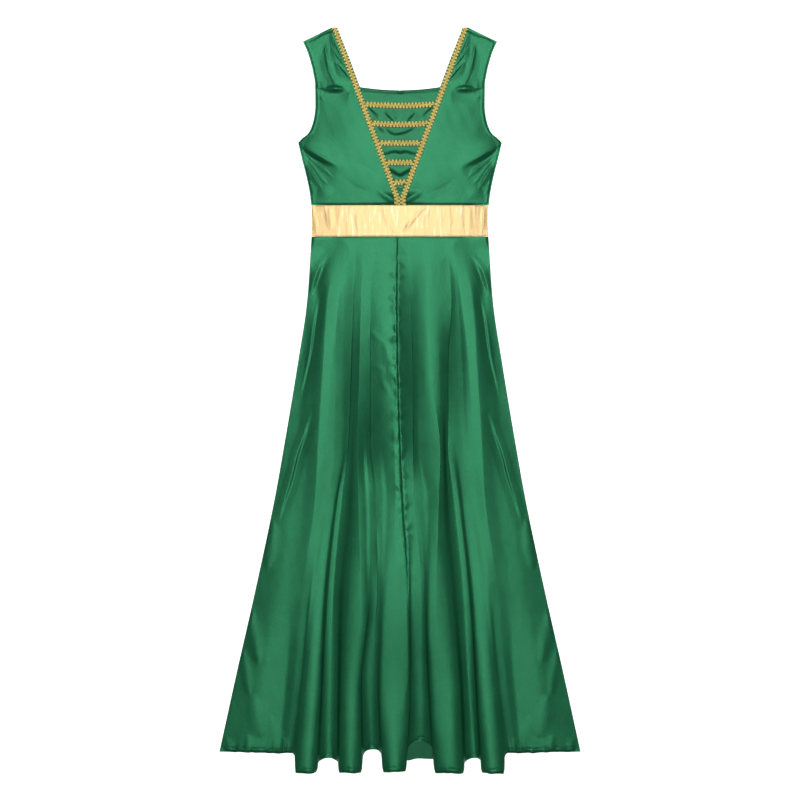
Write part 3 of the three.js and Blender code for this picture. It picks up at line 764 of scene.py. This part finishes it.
def hem_detail(length_left, u, seed):
    """A narrow stitched hem: a groove above it, small waves along it and an edge that curls under."""
    strip = -(0.5 + 0.2 * np.sin(u * 19 + seed)) * np.exp(-(((length_left - 8) / 1.3) ** 2))
    waves = np.sin(u * 17 + seed) * np.sin(u * 7.1 + 2 * seed) + 0.3 * np.sin(u * 31 + 3 * seed)
    curl = (1.9 + 0.9 * np.sin(u * 13 + seed)) * np.exp(-((length_left / 3.6) ** 2))
    return strip + 0.6 * waves * np.exp(-length_left / 11) - curl


def skirt_front(name, start, end, seam_side):
    us = [start]
    for k in range(int(start), int(np.ceil(end))):
        count = COLUMNS.get(min(k, len(LINES) - 2 - k), OTHER_COLUMNS)
        us += [k + i / count for i in range(1, count + 1)]
        us += [k - SHARP_COLUMN, k + SHARP_COLUMN] if k in SHARP_LINES else []
    us = np.array([u for u in sorted(set(us)) if start <= u < end] + [end])
    us = us[np.concatenate([[True], np.diff(us) > 1e-4])]
    seam = end if seam_side > 0 else start
    us = np.unique(np.concatenate([us, seam - seam_side * SEAM_COLUMNS]))
    vs = clustered(242, 0.55)
    points = skirt_points(us, vs)
    normals = unit_normals(points)
    detail = skirt_detail(points)
    x, y = points[..., 0], points[..., 1]
    column = points[:, -1 if seam_side > 0 else 0, 0][:, None]
    distance = np.abs(x - column)
    detail += seam_puckers(distance, y, seam_side)
    uneven = np.clip(0.4 + 1.4 * waver(0 * x, y, 50 + seam_side, 24), 0, 1)
    depth = np.interp(y, [-700, -300, 120, 300], [0.25, 0.3, 0.6, 0.25])
    detail += edge_roll(distance, 1, 1.4) * uneven * depth
    detail += hem_detail((1 - vs)[:, None] * SKIRT_LENGTH, us[None, :], seam_side)
    detail += edge_roll(vs[:, None] * SKIRT_LENGTH, 0.8, 2.4)
    outer = points[:, 0 if seam_side > 0 else -1, 0][:, None]
    detail *= smooth(np.abs(x - outer) / 6)
    points = points + normals * detail[..., None]
    points[..., 2] = np.maximum(points[..., 2], REST)
    return cloth_wall(name, points, SATIN)


SEAM_SHARE = 0.0045
skirt_left = skirt_front("skirt_left_cloth", 0.0, CENTRE_SEAM - SEAM_SHARE, 1)
skirt_right = skirt_front("skirt_right_cloth", CENTRE_SEAM + SEAM_SHARE, len(LINES) - 1.0, -1)

# ---- Back ----
BACK_HEM = [(-343, 978), (-205, 980), (-150, 984), (-116, 988), (-90, 984), (-68, 972), (-30, 972), (14, 995),
            (34, 991), (62, 992), (125, 988), (150, 983), (205, 980), (343, 978)]


def flat_points(x, y):
    return np.stack(np.broadcast_arrays(x, y, BACK_CLOTH / 2), -1)


u, v = np.meshgrid(np.linspace(-1, 1, 121), clustered(120, 0.6))
seam_x = -line_x(LINES[0], v)
length = mix(SIDE_LENGTH, from_table(BACK_HEM, u * HEM_HALF), smooth((v - 0.5) * 2))
back_points = flat_points(u * seam_x, WAIST_SEAM - GAP / 2 - v * length)
skirt_back = cloth_wall("skirt_back_cloth", back_points, SHADED_SATIN_REVERSE, BACK_CLOTH)

u, v = np.meshgrid(np.linspace(-1, 1, 41), np.linspace(0, 1, 9))
back_points = flat_points(u * WAIST_HALF, mix(WAISTBAND_TOP - GAP / 2, WAIST_SEAM + GAP / 2, v))
band_back = cloth_wall("waistband_back_cloth", back_points, GOLD_CLOTH, BACK_CLOTH)


def bodice_back_points():
    """The back below its straight neck; the straps above it are pieces of their own."""
    ys = np.linspace(BACK_NECK, WAISTBAND_TOP + GAP / 2, 90)
    u = np.linspace(-1, 1, 121)[None, :]
    return flat_points(u * half_width(ys)[:, None], ys[:, None])


def back_strap(side):
    v = np.linspace(0, 1, 60)[:, None]
    u = np.linspace(0, 1, 30)[None, :]
    inner_y = mix(SHOULDER_TOP, BACK_NECK, v)
    inner_x = v_edge(inner_y) - BACK_NECK_INWARD * np.clip((SHOULDER_TOP - inner_y) / 60, 0, 1)
    outer_y = mix(TIP_Y, BACK_NECK, v)
    outer_x = half_width(outer_y)
    share = BRAID_RUN / (outer_x - inner_x)
    y = mix(inner_y, outer_y, np.clip((u - share) / (1 - share), 0, 1))
    points = flat_points(mix(inner_x, outer_x, u), y)
    if side < 0:
        points = points * (-1, 1, 1)
        return points[:, ::-1]
    return points


bodice_back = cloth_wall("bodice_back_cloth", bodice_back_points(), SHADED_SATIN_REVERSE, BACK_CLOTH)
strap_left = cloth_wall("strap_left_cloth", back_strap(-1), SHADED_SATIN_REVERSE, BACK_CLOTH)
strap_right = cloth_wall("strap_right_cloth", back_strap(1), SHADED_SATIN_REVERSE, BACK_CLOTH)


# ---- Gold gimp braid ----
def tube(centres, radius, sides=8):
    """Verts and faces of a closed round cord along a row of centre points."""
    centres = np.asarray(centres)
    along = np.gradient(centres, axis=0)
    along /= np.linalg.norm(along, axis=1, keepdims=True)
    up = np.tile([0.0, 0.0, 1.0], (len(centres), 1))
    across = np.cross(along, up)
    across /= np.linalg.norm(across, axis=1, keepdims=True)
    up = np.cross(across, along)
    angle = np.arange(sides) * 2 * np.pi / sides
    ring = np.cos(angle)[None, :, None] * across[:, None] + np.sin(angle)[None, :, None] * up[:, None]
    verts = (centres[:, None] + radius * ring).reshape(-1, 3)
    n = len(centres)
    i, j = np.meshgrid(np.arange(n - 1), np.arange(sides), indexing="ij")
    a, b = i * sides + j, i * sides + (j + 1) % sides
    quads = np.stack([a, a + sides, b + sides, b], -1).reshape(-1, 4).tolist()
    quads.append(list(range(sides - 1, -1, -1)))
    quads.append([(n - 1) * sides + k for k in range(sides)])
    return verts, quads


def beads(centres, radius, rings=5, sides=7):
    """Verts and faces of small balls."""
    tilt = np.linspace(0, np.pi, rings + 2)[1:-1]
    turn = np.arange(sides) * 2 * np.pi / sides
    ball = np.stack([np.outer(np.sin(tilt), np.cos(turn)), np.outer(np.sin(tilt), np.sin(turn)),
                     np.outer(np.cos(tilt), np.ones(sides))], -1).reshape(-1, 3)
    ball = np.concatenate([ball, [[0, 0, 1], [0, 0, -1]]]) * radius
    faces = []
    for i in range(rings - 1):
        for j in range(sides):
            k = (j + 1) % sides
            faces.append([i * sides + j, (i + 1) * sides + j, (i + 1) * sides + k, i * sides + k])
    top, low, last = rings * sides, rings * sides + 1, (rings - 1) * sides
    for j in range(sides):
        k = (j + 1) % sides
        faces += [[top, j, k], [low, last + k, last + j]]
    verts = (np.asarray(centres)[:, None] + ball).reshape(-1, 3)
    return verts, [[f + n * len(ball) for f in face] for n in range(len(centres)) for face in faces]


CORD_RADIUS, CORD_STEP, CORD_SWING, CORD_PERIOD = 0.9, 1.1, 1.5, 12.8
BEAD_RADIUS, BEAD_PITCH, BEAD_OUT_BY, BEAD_LIFT = 2.4, 6.4, 3.6, 1.2
CORE_HALF, CORE_COLUMNS, CORE_CLOTH = 5.6, 5, 0.5


def joined(parts):
    """Verts and faces of several parts as one."""
    starts = np.cumsum([0] + [len(verts) for verts, _ in parts]).tolist()
    faces = [[i + start for i in face] for start, (_, part) in zip(starts, parts) for face in part]
    return np.concatenate([verts for verts, _ in parts]), faces


def braid(name, centre, across, normal):
    """Gimp braid: three cords plaited along a centre line, a row of beads down each edge for its
    loops, in a paler gold as painted highlight, and a strip under them, dark as painted shade."""
    length = np.concatenate([[0], np.cumsum(np.linalg.norm(np.diff(centre, axis=0), axis=1))])

    def along(s):
        at = np.stack([np.interp(s, length, centre[:, i]) for i in range(3)], -1)
        side = np.stack([np.interp(s, length, across[:, i]) for i in range(3)], -1)
        out = np.stack([np.interp(s, length, normal[:, i]) for i in range(3)], -1)
        return at, side, out

    at, side, out = along(np.arange(0, length[-1], CORD_STEP))
    cords, loops = [], []
    for strand in range(3):
        phase = np.arange(len(at)) * CORD_STEP / CORD_PERIOD * 2 * np.pi + strand * np.pi * 2 / 3
        sway, lift = CORD_SWING * np.sin(phase), 1.6 + 0.4 * np.sin(2 * phase)
        cords.append(tube(at + side * sway[:, None] + out * lift[:, None], CORD_RADIUS))
    for turn in (-1, 1):
        first = 2 + BEAD_PITCH * (turn > 0) / 2
        b_at, b_side, b_out = along(np.arange(first, length[-1] - 1, BEAD_PITCH))
        loops.append(beads(b_at + b_side * turn * BEAD_OUT_BY + b_out * BEAD_LIFT, BEAD_RADIUS))
    verts, faces = joined(cords + loops)
    made = add_object(name, verts, faces, BRAID_CORD, verts[:, :2])
    made.data.materials.append(BRAID_BEAD_HIGHLIGHT)
    # The beads take the paler gold, which is painted highlight.
    is_highlit_bead = np.arange(len(faces)) >= sum(len(part) for _, part in cords)
    made.data.polygons.foreach_set("material_index", is_highlit_bead.astype(int))
    # The strip under the cords is dark as painted shade round the braid.
    w = np.linspace(-CORE_HALF, CORE_HALF, CORE_COLUMNS)
    core = at[:, None] + side[:, None] * w[None, :, None] + out[:, None] * 0.5
    normals = np.repeat(out[:, None], CORE_COLUMNS, axis=1)
    return made, cloth_wall(name + "_shade_strip", core, BRAID_SHADE_STRIP, CORE_CLOTH, normals)


def strip_frame(points):
    """Centre line, sideways and outward directions of a strip given as a grid of points."""
    normals = unit_normals(points)
    middle = points.shape[1] // 2
    across = points[:, -1] - points[:, 0]
    across /= np.linalg.norm(across, axis=1, keepdims=True)
    return points[:, middle], across, normals[:, middle]


def v_braid(name, front, mirrored):
    strip = front[:, :BRAID_COLUMNS] if mirrored else front[:, -BRAID_COLUMNS:]
    lifted = strip + np.array([0, 0, CLOTH / 2 + 0.1])
    return braid(name, *strip_frame(lifted))


braid_left = v_braid("braid_left_cords", left_front, False)
braid_right = v_braid("braid_right_cords", right_front, True)
bars = []
for i, (level, _) in enumerate(BRAID_BARS):
    u, v = np.meshgrid(np.linspace(-1, 1, 61), level + np.linspace(5, -5, 5))
    grid = inset_points(u, v, CLOTH / 2 + 0.3).transpose(1, 0, 2)
    smooth_z = np.convolve(np.pad(grid[:, 2, 2], 6, mode="edge"), np.ones(13) / 13, "valid")
    grid[..., 2] = np.maximum(grid[..., 2].max(axis=1), smooth_z)[:, None]
    centre, across, normal = strip_frame(grid[:, ::-1])
    bars.append(braid(f"braid_bar_{i + 1}_cords", centre, across, np.abs(normal) * (0, 0, 1)))

# ---- Which solid each piece stands for ----
PANELS = [
    (bodice_left, "bodice_front_left", "satin"),
    (bodice_right, "bodice_front_right", "satin"),
    (inset, "bodice_inset", "satin"),
    (band, "waistband_front", "gold_cloth"),
    (skirt_left, "skirt_front_left", "satin"),
    (skirt_right, "skirt_front_right", "satin"),
    (skirt_back, "skirt_back", "satin"),
    (band_back, "waistband_back", "gold_cloth"),
    (bodice_back, "bodice_back", "satin"),
    (strap_left, "bodice_back", "satin"),
    (strap_right, "bodice_back", "satin"),
    *[(p, "braid_v_left", "braid") for p in braid_left],
    *[(p, "braid_v_right", "braid") for p in braid_right],
    *[(p, f"braid_bar_{i + 1}", "braid") for i, pair in enumerate(bars) for p in pair],
]
for piece, cad_node, slot in PANELS:
    dress_piece(piece, cad_node)
